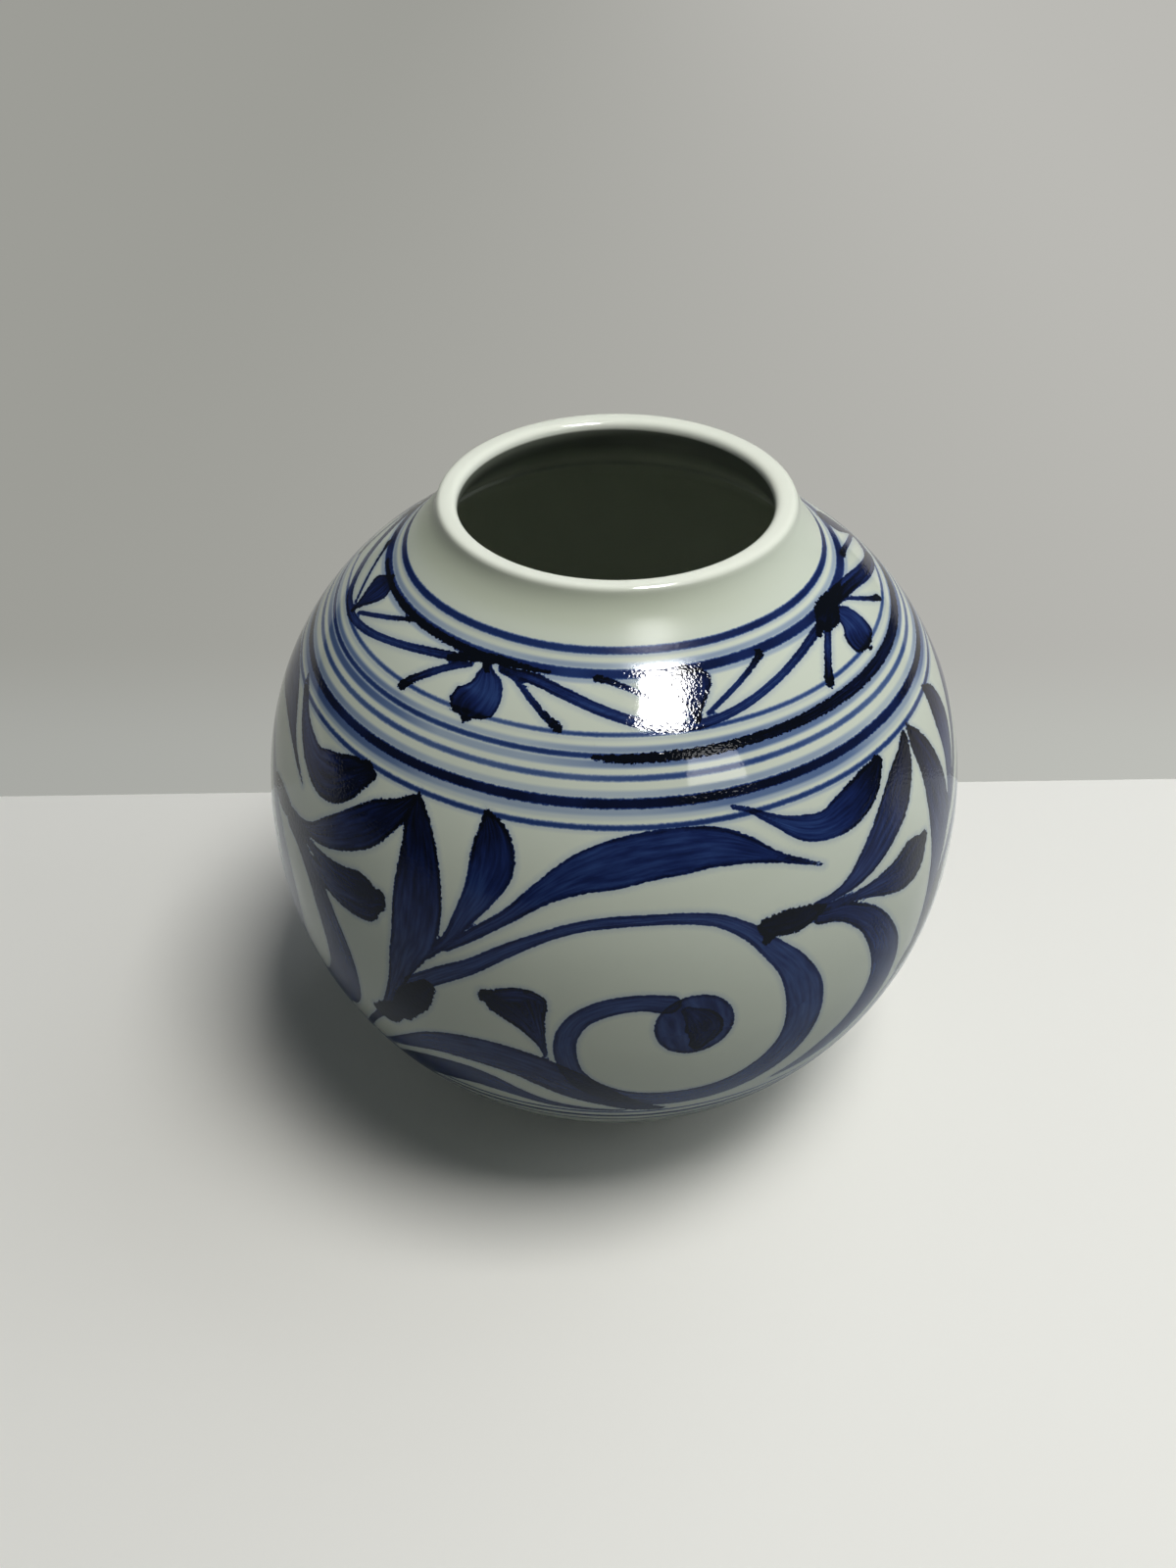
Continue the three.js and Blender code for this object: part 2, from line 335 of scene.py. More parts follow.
foot_clay, tree = new_material("bare_porcelain_with_glazed_side")
place = add_node(tree, "TexCoord").outputs["Object"]
height = add_node(tree, "SeparateXYZ", {0: place}).outputs["Z"]
drift = add_node(tree, "TexNoise", {"Vector": place, "Scale": WANDERS, "Detail": 2.0}).outputs[0]
level = add_node(tree, "Math", {0: drift, 1: WANDER, 2: height}, operation="MULTIPLY_ADD").outputs[0]
glazed = add_node(tree, "MapRange", {0: level, 1: GLAZE[0], 2: GLAZE[1]}, **SOFT).outputs[0]
toast = add_node(tree, "MapRange", {0: level, 1: TOAST[0], 2: TOAST[1]}, **SOFT).outputs[0]
fine = {"Vector": place, "Scale": GRAINS, "Detail": 3.0, "Roughness": 0.6}
grit = add_node(tree, "TexNoise", fine).outputs[0]
clay = add_node(tree, "Mix", {0: grit, 6: linear("cfc3b0"), 7: linear("e0d8c9")}, data_type="RGBA")
clay = add_node(tree, "Mix", {0: toast, 6: clay.outputs[2], 7: linear("c39a72")}, data_type="RGBA")
clay = add_node(tree, "Mix", {0: glazed, 6: clay.outputs[2], 7: linear("d3d8cc")}, data_type="RGBA")
rough = add_node(tree, "MapRange", {0: glazed, 3: BARE_ROUGHNESS, 4: GLAZED_ROUGHNESS}).outputs[0]
relief = add_node(tree, "Bump", {"Height": grit, "Strength": 0.5, "Distance": GRIT_RISE}).outputs[0]
body = add_node(tree, "BsdfPrincipled", {"Base Color": clay.outputs[2], "Roughness": rough,
                                         "IOR": GLASS_IOR, "Normal": relief}).outputs[0]
add_node(tree, "OutputMaterial", {"Surface": body})
foot_ring.data.materials.append(foot_clay)


# The walls of the two bowls are thrown porcelain. Outside and inside each is a superellipse about the
# widest level, and the distance along the wall from that level, in millimetres, says where the painting
# goes. The levels and radii that the sections share come from the frame.
SHOULDER_FULLNESS = 2.25  # exponents of the upper and the lower curve: 2 is an ellipse, more is squarer
BOWL_FULLNESS = 2.05
WALL = 5.5
FLOOR = 8.0              # thickness of the floor
FLOOR_RADIUS = 44.0
FOOT_LEDGE = 0.9         # how far the flat underside runs out past the foot ring
SEAT_WIDTH = 7.5
OPENING_EDGE = 2.0       # height of the dome's edge round its opening
OPENING_BEVEL = 3.0      # the dome is cut this far short of the opening, and a bevel takes its edge off
PAINTED_FROM = 45.0      # little is painted below this height, so the rows lie wider apart there
ROW = 0.83               # rows this far apart up the painted wall
LOW_ROW = 2.4            # below it
INNER_ROW = 3.0          # and inside
TUCK = 0.04              # how far inside each end of a wall one more row lies
INSIDE = 400.0           # added to distances inside the jar, so that no painted line falls there
UNDER_AXIS = -160.0      # the distances given to the middle of the underside and of the floor inside
FLOOR_AXIS = 158.0

belly_radius, belly_seam_low, belly_seam_high = cad_section("belly_seam")
belly_height = (belly_seam_low + belly_seam_high) / 2
half_seam = belly_seam_high - belly_height
underside_height = cad_section("lower_bowl")[1]
opening_height = cad_section("upper_bowl")[2]
seat_radius, seat_height, _ = cad_section("collar")
opening_radius = seat_radius - SEAT_WIDTH
floor_height = underside_height + FLOOR


def superellipse(width, radius, rise, fullness, points=6000):
    """Points (radius, rise) on (radius / width)^n + (rise / reach)^n = 1 from the widest level to a point
    that it runs through, evenly spaced in angle: width * cos(a)^(2/n) across, reach * sin(a)^(2/n) up."""
    reach = rise / (1 - (radius / width) ** fullness) ** (1 / fullness)
    angle = np.linspace(0, np.arcsin((rise / reach) ** (fullness / 2)), points)
    return np.stack([width * np.cos(angle) ** (2 / fullness), reach * np.sin(angle) ** (2 / fullness)], -1)


def run_of(curve):
    """Distance along a curve of (radius, height) points from its first point: the sum of its steps."""
    return np.concatenate([[0], np.cumsum(np.hypot(*np.diff(curve, axis=0).T))])


widest = (0, belly_height)
downwards = (1, -1)
cavity = belly_radius - WALL
seat_rise = seat_height - belly_height
dome_rise = opening_height - OPENING_EDGE - belly_height
underside_drop = belly_height - underside_height
floor_drop = belly_height - floor_height
shoulder = superellipse(belly_radius, seat_radius, seat_rise, SHOULDER_FULLNESS) + widest
bowl = superellipse(belly_radius, foot_radius + FOOT_LEDGE, underside_drop, BOWL_FULLNESS)
bowl = bowl * downwards + widest
dome = superellipse(cavity, opening_radius, dome_rise, SHOULDER_FULLNESS) + widest
basin = superellipse(cavity, FLOOR_RADIUS, floor_drop, BOWL_FULLNESS) * downwards + widest

outer_wall = np.concatenate([bowl[::-1], shoulder[1:]])
outer_run = run_of(outer_wall) - run_of(bowl)[-1]


def on_wall(s):
    """The radius and the height of the outer wall at a distance along it."""
    return np.interp(s, outer_run, outer_wall[:, 0]), np.interp(s, outer_run, outer_wall[:, 1])


def wall_rows(low, high, step):
    """Rows of the outer wall between two heights: (radius, height, distance), a step apart, with one more
    row just inside each end, so that the light runs on to the next section without a break."""
    start, end = np.interp([low, high], outer_wall[:, 1], outer_run)
    count = max(2, int(np.ceil((end - start) / step)))
    s = np.linspace(start, end, count + 1)
    s = np.concatenate([s[:1], s[:1] + TUCK, s[1:-1], s[-1:] - TUCK, s[-1:]])
    return np.stack([*on_wall(s), s], -1)


def inner_rows(curve, low_rise):
    """Rows of an inner wall from a rise off its widest level to its end: (radius, height, distance)."""
    run = run_of(curve)
    start = np.interp(low_rise, abs(curve[:, 1] - belly_height), run)
    s = np.linspace(start, run[-1], int(np.ceil((run[-1] - start) / INNER_ROW)) + 1)
    return np.stack([np.interp(s, run, curve[:, 0]), np.interp(s, run, curve[:, 1]), s + INSIDE], -1)


underside = np.array([[r, underside_height, UNDER_AXIS + r] for r in (0, 24, 46)])
low_wall = wall_rows(underside_height, PAINTED_FROM, LOW_ROW)
high_wall = wall_rows(PAINTED_FROM, belly_seam_low, ROW)
floor = np.array([[r, floor_height, INSIDE + FLOOR_AXIS - r] for r in (38, 20, 0)])
rows = np.concatenate([underside, low_wall[:-2], high_wall, inner_rows(basin, half_seam), floor])
lower_bowl = turned("lower_bowl_wall", rows, "lower_bowl")

high_wall = wall_rows(belly_seam_high, opening_height, ROW)
edge = [[opening_radius, opening_height, INSIDE]]
bevelled = dome[dome[:, 0] > opening_radius + OPENING_BEVEL]
rows = np.concatenate([high_wall, edge, inner_rows(bevelled, half_seam)[::-1]])
upper_bowl = turned("upper_bowl_wall", rows, "upper_bowl")


# Slip joins the sections: thin rings of the same porcelain, stirred to a cream. It is wiped flush outside,
# where the glaze hides it, stays as a low ridge inside the belly, and swells a little over the foot ring.
RIDGE = 1.5              # how far the belly's slip stands out inside
RIDGE_ROWS = 9
SLIP_ROW = 0.5
FOOT_SWELL = [(0.0, 0.0), (0.12, 0.25), (0.2, 0.6), (0.1, 1.0)]   # out past the foot ring, up from its top

round_it = np.linspace(-np.pi / 2, np.pi / 2, RIDGE_ROWS)
ridge = np.stack([cavity - RIDGE * np.cos(round_it), belly_height - half_seam * np.sin(round_it),
                  INSIDE + 0 * round_it], -1)
rows = np.concatenate([wall_rows(belly_seam_low, belly_seam_high, SLIP_ROW), ridge])
belly_slip = turned("belly_slip", rows, "belly_seam")

inner_edge = [[opening_radius, seat_height, INSIDE], [opening_radius, opening_height, INSIDE]]
rows = np.concatenate([wall_rows(opening_height, seat_height, SLIP_ROW), inner_edge])
collar_slip = turned("collar_slip", rows, "collar_seam")

outside = [(foot_radius + out, foot_top + up) for out, up in FOOT_SWELL]
outline = [(FOOT_TOP_INNER, foot_top), *outside, (FOOT_TOP_INNER, underside_height)]
rows = np.column_stack([outline, np.full(len(outline), UNPAINTED)])
foot_slip = turned("foot_slip", rows, "foot_seam")
foot_slip.data.materials.append(foot_clay)


# The collar is thrown with a thick rolled lip. The shoulder's slope turns up in a wide soft hollow into
# the neck, and inside it leans in to the mouth. It warped a little in the kiln: its front sank below its
# back, and the whole lip moved slightly to the right.
LIP_MIDDLE = (42.5, 182.0)
LIP_ROLL = 2.75          # half the lip's thickness
LIP_FULLNESS = 3.0       # exponent of the roll's section: 2 is a circle, more is squarer
NECK_LEAN = radians(20)  # how far the neck leans out below the lip
HOLLOW_REACH = 4.0       # how far the shoulder's slope runs on before the hollow turns it up
NECK_REACH = 5.0         # how far the neck's slope runs down from the lip
FIRST_ROW = 0.05         # one more row lies close above the seat, at this share of the neck's first step
NECK_ROWS, LIP_ROWS, THROAT_ROWS = 25, 33, 13
LEAN = 0.0262            # fall per millimetre towards the front
LEAN_STARTS = 170.5      # the height from which the warp grows up to the lip
LIP_SHIFT = 0.5          # how far the lip moved to the right
LIP_SPREAD = 0.35        # how far its outer side stands out more than its inner side
LIP_OFFSET = (0.25, 0.9)  # and how far that outer side is set off to the right, and back


def swept(start, start_handle, end_handle, end, points):
    """Points on a cubic curve with a handle at each end: start * (1 - t)^3 + start handle * 3t(1 - t)^2
    + end handle * 3t^2(1 - t) + end * t^3."""
    t = np.linspace(0, 1, points)[:, None]
    corners = [np.array(p, float) for p in (start, start_handle, end_handle, end)]
    return (corners[0] * (1 - t) ** 3 + corners[1] * 3 * t * (1 - t) ** 2
            + corners[2] * 3 * t ** 2 * (1 - t) + corners[3] * t ** 3)


lip_radius, lip_height = LIP_MIDDLE
mouth, lip_side = lip_radius - LIP_ROLL, lip_radius + LIP_ROLL
roll = np.linspace(NECK_LEAN, np.pi, LIP_ROWS)
roll_out = LIP_ROLL * np.sign(np.cos(roll)) * abs(np.cos(roll)) ** (2 / LIP_FULLNESS)
roll_up = LIP_ROLL * np.sin(roll) ** (2 / LIP_FULLNESS)
lip = np.stack([lip_radius + roll_out, lip_height + roll_up], -1)

shoulder_end = np.interp(opening_height, shoulder[:, 1], shoulder[:, 0])
slope = np.arctan2(seat_height - opening_height, shoulder_end - seat_radius)
hollow = (seat_radius - HOLLOW_REACH * np.cos(slope), seat_height + HOLLOW_REACH * np.sin(slope))
under_lip = (lip[0, 0] + NECK_REACH * np.sin(NECK_LEAN), lip[0, 1] - NECK_REACH * np.cos(NECK_LEAN))
neck = swept((seat_radius, seat_height), hollow, under_lip, lip[0], NECK_ROWS)
first_row = neck[:1] + (neck[1:2] - neck[:1]) * FIRST_ROW

lip = lip[1:-1]
handle = (lip_height - seat_height) / 3
throat_end = (opening_radius, seat_height)
above_end = ((mouth + opening_radius) / 2, seat_height + handle)
throat = swept((mouth, lip_height), (mouth, lip_height - handle), above_end, throat_end, THROAT_ROWS)
outline = np.concatenate([neck[:1], first_row, neck[1:], lip, throat])
distance = run_of(outline) + outer_run[-1]
lip_outer_edge, lip_inner_edge = distance[1 + len(neck)], distance[1 + len(neck) + len(lip)]
collar = turned("collar_and_lip", np.column_stack([outline, distance]), "collar")

points = np.empty(len(collar.data.vertices) * 3)
collar.data.vertices.foreach_get("co", points)
points = points.reshape(-1, 3)
from_axis = np.hypot(points[:, 0], points[:, 1])
share = np.clip((points[:, 2] / MM - LEAN_STARTS) / (lip_height - LEAN_STARTS), 0, 1)
share = share ** 2 * (3 - 2 * share)
outer = share * np.clip((from_axis / MM - mouth) / (2 * LIP_ROLL), 0, 1)
points[:, 2] += share * LEAN * (points[:, 1] - lip_side * MM)
points[:, :2] *= 1 + (outer * LIP_SPREAD * MM / from_axis)[:, None]
points[:, 0] += (share * LIP_SHIFT + outer * LIP_OFFSET[0]) * MM
points[:, 1] += outer * LIP_OFFSET[1] * MM
collar.data.vertices.foreach_set("co", points.ravel())
collar.data.update()


# The painting is cobalt, brushed on the raw clay: ringed lines, a vine round the shoulder and a scroll
# round the body. It lies in the skin of the wall, so each wall carries how far every point is from the edge
# of the nearest stroke, how far along that stroke it is, and how much cobalt the brush held there.
TURNS = (0.0, 90.9, 180.0, 269.5)   # both patterns go round the jar four times
SHOULDER_VINE_STARTS = -28.5
STRAY = (0.5, 0.35, 0.04)   # of the repeats: degrees round, millimetres up, share of the width
COATS = ("vine", "leaf", "knot")
BRUSH_STEP = 0.5         # the samples of a stroke lie this far apart
FINE_STEPS = 40          # and are found on a line with this many steps from point to point
BLEED = 3.0              # how far beyond a stroke's edge the distance to it is still kept
TO_EITHER_SIDE = 0.2     # the wall's slope is taken between two points this far from a place
PAINTED_LOW = -70        # strokes are laid between these distances up the wall
PAINTED_HIGH = 100
UNTOUCHED = (-9.0, 0.0, 0.0, 0.6)   # depth, run, offset and cobalt where no stroke comes near
STREAK_SHIFT = 137.0     # added to the run stroke by stroke, so that each has streaks of its own
THINNEST = 0.3           # the offset is kept as a share of the half-width, at least of this one,
WIDEST_SHARE = 1.5       # and as no more than this share

# A stroke is its coat, the cobalt at its start, middle and end, and its points. A point is an azimuth in
# degrees, to the right from the front, and a distance up the wall and a half-width, both in millimetres.
SHOULDER_VINE = [
    # the leaf that hangs from the knot, with a tendril to its left and one to its right
    ("leaf", (0.72, 0.6, 0.95), [
        (0, 89.6, 1), (.5, 87.6, 2.5), (1.2, 85.6, 4), (1.4, 83.6, 5), (1.1, 81.6, 5.7), (.3, 79.6, 6.1),
        (.1, 78.3, 5.5), (.1, 77.1, 3.8), (.1, 76.5, 1.2)]),
    ("vine", (0.7, 0.62, 0.97), [
        (-4, 88.6, .8), (-8, 86.4, 1), (-12, 82.9, 1.1), (-15, 79.4, 1.2), (-16.3, 77.2, 1.5)]),
    ("vine", (0.66, 0.58, 0.95), [
        (3, 89.9, .6), (7.5, 88.1, .7), (11.5, 84.6, .8), (15.5, 80.9, .9), (18.3, 78.6, 1.2)]),
    # the stem, down to its lowest place and up to the next knot
    ("vine", (0.8, 0.58, 0.62), [
        (4, 89.8, 1.2), (10, 89.3, 1.4), (15, 88, 1.45), (20.5, 85.9, 1.45), (24.5, 84.1, 1.4),
        (28.5, 82.4, 1.35), (33.5, 80.4, 1.3), (38.5, 78.9, 1.3), (45, 78.5, 1.3)]),
    ("vine", (0.6, 0.54, 0.75), [
        (45, 78.5, 1.2), (50, 79.3, 1.1), (56, 80.9, 1.05), (62, 82.9, 1), (68, 84.9, 1),
        (74, 86.8, 1.1), (80, 88.4, 1.2), (84, 88.9, 1.4)]),
    # the leaf that stands on the stem's lowest place, with its two tendrils
    ("leaf", (0.9, 0.76, 0.82), [
        (44.8, 79.2, .8), (44.9, 82.1, 1.7), (45, 84.6, 3.4), (45, 87.6, 5.1), (44.8, 89.6, 5.1),
        (44.6, 91.2, 3.4), (44.5, 91.9, 1.4)]),
    ("vine", (0.6, 0.55, 0.85), [
        (44.5, 80.1, .6), (40, 83.6, .7), (33.5, 87.6, .7), (28.5, 90, .8), (25, 91, 1)]),
    ("vine", (0.6, 0.55, 0.9), [
        (47, 80.6, .6), (53, 84.4, .7), (59, 87.9, .7), (62, 89.8, .8), (63.3, 90.8, 1.3)]),
    # the knot that it hangs from, under a ringed line
    ("knot", (0.95, 1.0, 0.9), [
        (-10, 88, .8), (-7, 89.5, 1.3), (-3.5, 90.8, 1.4), (0, 91.6, 1.3), (5, 91.7, 1.1),
        (10.5, 91.3, .6)]),
    ("knot", (0.95, 1.0, 0.9), [(-.6, 91.1, 1.1), (-.4, 89.4, 1), (.6, 88, .5)]),
]
BODY_SCROLL = [
    # three leaves that rise from the root, the last of them over the top of the scroll
    ("leaf", (0.7, 0.66, 0.96), [
        (-37.5, -14, 1.2), (-35, -6, 1.8), (-33, 3, 2.5), (-31.3, 12, 4.3), (-29.7, 20, 6.2),
        (-29.1, 28, 6.95), (-29.2, 36, 6.5), (-29.9, 44, 4.95), (-31.2, 51, 3.3), (-32.2, 57.5, 0)]),
    ("leaf", (0.7, 0.6, 0.95), [
        (-26.8, 17, 1), (-23.6, 24, 1.6), (-21.7, 30, 2.4), (-20.5, 34, 3.2), (-19.3, 38, 4),
        (-17.9, 45, 5.5), (-18.1, 51, 4.7), (-19, 55, 2.7), (-20.3, 58.4, 0)]),
    ("leaf", (0.66, 0.66, 0.72), [
        (-24, 21, 1), (-20, 27, 1.6), (-15, 33.8, 1.8), (-10, 41, 2.9), (-5, 46, 4.6), (0, 48.6, 5.7),
        (5, 50.4, 5.7), (10, 51, 5.5), (15, 50.9, 4.8), (20, 48.8, 3.4), (25, 45, 1.4), (29, 41.9, .8),
        (32.4, 39, .4)]),
    # the stem that curls up into the scroll, and the bud at its end
    ("vine", (0.62, 0.6, 0.62), [
        (-30, 5, 2.5), (-25, 12, 2.5), (-20, 18, 2.2), (-15, 24.6, 1.9), (-10, 29.8, 1.5),
        (-5, 33.4, 1.4), (0, 35, 1.5), (5, 35.4, 1.4), (10, 35, 1.5), (15, 33.2, 1.7), (19.5, 28.5, 2.2),
        (22.8, 22.5, 2.8), (26.4, 14.5, 4), (28.6, 5, 5.3), (29.1, -4, 5.6), (28.2, -12, 5.6),
        (25.5, -19.5, 5.4), (20.5, -25.8, 4.8), (15, -28.6, 4.4), (8, -28.8, 4.2), (2, -26.5, 3.9),
        (-2.8, -21, 3.4), (-5.6, -14, 2.9), (-6.6, -6, 2.9), (-6.2, 1, 2.8), (-4.2, 7, 2.7),
        (-.5, 11, 2.7), (4, 12.4, 2.6), (8, 11.3, 3)]),
    ("leaf", (0.66, 0.66, 0.66), [(11.7, 3.6, 9.8), (11.8, 2.9, 9.8)]),
    ("knot", (0.55, 0.7, 0.68), [(10.6, 8.6, 1.6), (12.4, 5, 4.2), (13.2, 1, 4.8), (12.4, -3.4, 2.4)]),
    # the knots at the root, and those where the stem branches on the right
    ("knot", (0.95, 0.98, 0.9), [
        (-32.6, -7.5, 3.4), (-31.2, -3, 4.3), (-29.2, 1.5, 4.2), (-27.4, 6, 2.6)]),
    ("knot", (0.9, 0.95, 0.9), [(-38, -14, 2.5), (-36.5, -13, 3.8), (-34, -9, 3)]),
    ("knot", (0.98, 1.0, 0.86), [
        (22, 28.6, 2.2), (24, 28.2, 3.2), (27, 27.8, 3.4), (29.5, 28, 2.5), (31.5, 28.2, 1.2)]),
    ("knot", (0.9, 0.95, 0.95), [(22.6, 27, 1.9), (22.2, 24.8, 1.3)]),
    # the small leaf of three strokes to the left of the scroll's inner turn
    ("leaf", (0.62, 0.78, 0.95), [
        (-9.2, -9, .4), (-10.1, -3, 1.3), (-12.2, 3, 2.6), (-14.6, 7, 3.7), (-16.6, 9.4, 3.6),
        (-17.8, 10.2, 2)]),
    ("leaf", (0.62, 0.74, 0.95), [
        (-9.3, -9, .4), (-9.9, -2, 1.1), (-10.6, 5, 2.3), (-11.2, 9.6, 3.6), (-11.6, 12, 3),
        (-11.7, 13.6, 1.2)]),
    ("leaf", (0.9, 0.78, 0.8), [
        (-18, 9.4, 1.8), (-15.5, 11, 2.4), (-12.5, 12.2, 2.6), (-10.2, 11.6, 1.9), (-9.7, 9, 1.4)]),
    # two leaves low on the body
    ("leaf", (0.6, 0.66, 0.8), [
        (-43, -38, .8), (-38, -29.5, 1.5), (-33, -22, 2.6), (-28, -16, 4), (-23, -13, 5.2),
        (-18, -12.2, 5.9), (-13, -13.6, 6.3), (-8, -18, 6.8), (-4, -23, 6.2), (0, -28, 4.5), (4, -33, 3),
        (8, -36, 1.2)]),
    ("leaf", (0.8, 0.66, 0.6), [
        (-42, -48, 4), (-38, -42, 4.6), (-33, -35, 5.4), (-28, -30, 5.6), (-23, -27, 5.3),
        (-19, -27.5, 4.7), (-15, -30, 3), (-10, -33.5, 1.8), (-4, -35.5, 1.1), (2, -36.3, .6)]),
    # the branch down on the right, and two leaves that point to the right from its knot
    ("leaf", (0.8, 0.64, 0.6), [
        (31, 25.8, 2), (35.5, 23.8, 2.6), (40, 18, 3.6), (43, 10.5, 4.6), (45.3, 1, 5.6), (45.6, -7, 6),
        (44.3, -14.5, 6.1), (41, -21.5, 5.5), (36, -27, 4.2), (31, -30.6, 2.2), (27, -32.6, .5)]),
    ("leaf", (0.66, 0.74, 0.95), [
        (30.5, 29.5, 1.1), (34, 29.9, 1.3), (37.5, 31.2, 2.4), (41, 34, 3.9), (45, 38, 5),
        (49, 42.6, 5.6), (52, 46.8, 5), (55, 51, 3.2), (57, 55, 1.2)]),
    ("leaf", (0.62, 0.72, 0.95), [
        (31, 28, .9), (36, 27, 1), (40, 26, 1.9), (44.5, 24.6, 3.8), (48.5, 24, 5.8), (51.5, 24.6, 6.4),
        (53.5, 25.8, 4.8), (54.8, 26.8, 2.4)]),
    # the leaf under the ringed lines, and the stem down to the left of the root
    ("leaf", (0.6, 0.64, 0.96), [
        (19, 59.1, .6), (22, 57.2, .8), (26, 53.2, 1.5), (30, 49.7, 3), (34, 48, 3.6), (38, 48.6, 4.8),
        (42, 50.2, 4.8), (45.5, 52.5, 3.8), (48, 54.6, 2)]),
    ("vine", (0.7, 0.6, 0.6), [(-38, -15, 1.2), (-41.5, -23, 1), (-45.5, -33, 1), (-49, -42, .8)]),
]
HEAVY_LINES = [          # where the brush came back over a ringed line with more cobalt
    ("knot", (0.92, 0.94, 0.84), [(-3.5, 72.6, .6), (2, 72.4, 1.1), (12, 72.4, 1.2), (22, 72.5, 1.3)]),
    ("vine", (0.84, 0.76, 0.74), [
        (21, 72.6, 1.1), (30, 72.7, 1.25), (45, 72.8, 1.5), (62, 72.7, 1.6), (85, 72.8, 1.5),
        (105, 72.8, 1.2), (125, 72.8, .6)]),
    ("vine", (0.74, 0.86, 0.8), [
        (-84, 91.7, .6), (-60, 91.7, 1), (-40, 91.6, 1.1), (-28, 91.5, 1), (-14, 91.4, .5)]),
    ("knot", (0.9, 1.0, 0.9), [(56.5, 88.7, 2.6), (59, 89.6, 3.7), (62, 90.5, 3.4), (65, 91.3, 2.2)]),
    ("knot", (0.7, 0.9, 0.7), [(150, 72.8, .5), (170, 72.8, 1), (200, 72.9, 1), (225, 72.8, .5)]),
]
FULLER_LEAVES = [        # two leaves of the scroll and one of the vine, laid broader than their fellows
    ("leaf", (0.62, 0.72, 0.96), [
        (-71, 57.5, .5), (-67, 54.5, 1.2), (-63.5, 51.5, 2), (-58.5, 48, 3.4), (-53.5, 46.5, 5.2),
        (-50, 48, 6), (-47, 51, 5.6), (-45, 53.5, 4.2), (-43.6, 55.6, 2.2)]),
    ("leaf", (0.62, 0.68, 0.9), [
        (-54.3, 23.4, 1), (-49.5, 21.8, 2.4), (-45, 21.6, 4.2), (-40.5, 23, 5.8), (-38, 24.4, 5.6),
        (-36.6, 25.6, 3.5)]),
    ("leaf", (0.7, 0.6, 0.64), [
        (64, 91.3, 1.5), (68.5, 90.6, 2.1), (77.3, 88, 2.3), (86, 84, 2.3), (95, 79.6, 1.9),
        (100, 77.4, 1.2)]),
]


def wall_place(azimuth, s):
    """The point (r sin a, -r cos a, z) of the outer wall at an azimuth in degrees and a distance along the
    wall, and the wall's outward direction there, the outline's normal turned to the same azimuth."""
    a = np.radians(azimuth)
    r, z = on_wall(s)
    dr, dz = np.subtract(on_wall(s + TO_EITHER_SIDE), on_wall(s - TO_EITHER_SIDE))
    length = np.hypot(dr, dz)
    out, rise = dz / length, -dr / length
    place = np.stack([r * np.sin(a), -r * np.cos(a), z], -1)
    normal = np.stack([out * np.sin(a), -out * np.cos(a), rise], -1)
    return place, normal


def brushed(points):
    """A smooth line through (azimuth, distance, half-width) points: between two of them each value follows
    the cubic whose slope at a point is half the difference of its neighbours. The samples lie a brush step
    apart, and each has a place, a direction along, a direction across, a half-width and a run."""
    p = np.array(points, float)
    padded = np.concatenate([[2 * p[0] - p[1]], p, [2 * p[-1] - p[-2]]])
    t = np.linspace(0, len(p) - 1, FINE_STEPS * (len(p) - 1) + 1)
    i = np.minimum(t.astype(int), len(p) - 2)
    f = (t - i)[:, None]
    before, here, there, after = (padded[i + k] for k in range(4))
    smooth = here + 0.5 * f * (there - before + f * (2 * before - 5 * here + 4 * there - after
                                                    + f * (3 * (here - there) + after - before)))
    place, _ = wall_place(smooth[:, 0], smooth[:, 1])
    run = np.concatenate([[0], np.cumsum(np.linalg.norm(np.diff(place, axis=0), axis=1))])
    even = np.linspace(0, run[-1], max(3, int(run[-1] / BRUSH_STEP) + 1))
    azimuth, s, half = (np.interp(even, run, smooth[:, k]) for k in range(3))
    place, normal = wall_place(azimuth, s)
    along = np.gradient(place, even, axis=0)
    along /= np.linalg.norm(along, axis=1)[:, None]
    return place, along, np.cross(normal, along), np.maximum(half, 0.0), even


def lay_stroke(walls, coat, cobalt, points):
    """Lays one stroke on every wall point near it. The nearest sample of the brushed line gives the run
    along it and the offset across it. The depth inside the edge is half-width - |offset|, eased by the
    slope of the half-width, and past the ends it is the end's half-width less the distance to the end.
    Where strokes of one coat meet, the deeper one holds."""
    place, along, across, half, run = brushed(points)
    reach = half.max() + BLEED
    above = np.all(walls["place"] > place.min(0) - reach, axis=1)
    below = np.all(walls["place"] < place.max(0) + reach, axis=1)
    found = np.flatnonzero(above & below & walls["outside"])
    if not len(found):
        return
    v = walls["place"][found]
    squared = (v ** 2).sum(1)[:, None] + (place ** 2).sum(1) - 2 * v @ place.T
    k = squared.argmin(1)
    offset = ((v - place[k]) * across[k]).sum(1)
    on = run[k] + ((v - place[k]) * along[k]).sum(1)
    past = np.maximum(np.maximum(-on, on - run[-1]), 0)
    width = np.interp(on, run, half)
    ease = np.sqrt(1 + np.interp(on, run, np.gradient(half, run)) ** 2)
    depth = np.where(past > 0, width - np.hypot(offset, past), (width - abs(offset)) / ease)
    share = np.clip(offset / np.maximum(width, THINNEST), -WIDEST_SHARE, WIDEST_SHARE)
    layer = walls[coat]
    better = depth > layer[found, 0]
    deeper = found[better]
    layer[deeper, 0] = depth[better]
    layer[deeper, 1] = on[better] + STREAK_SHIFT * walls["strokes"]
    layer[deeper, 2] = share[better]
    layer[deeper, 3] = np.interp(on[better], [0, run[-1] / 2, run[-1]], cobalt)
    walls["strokes"] += 1


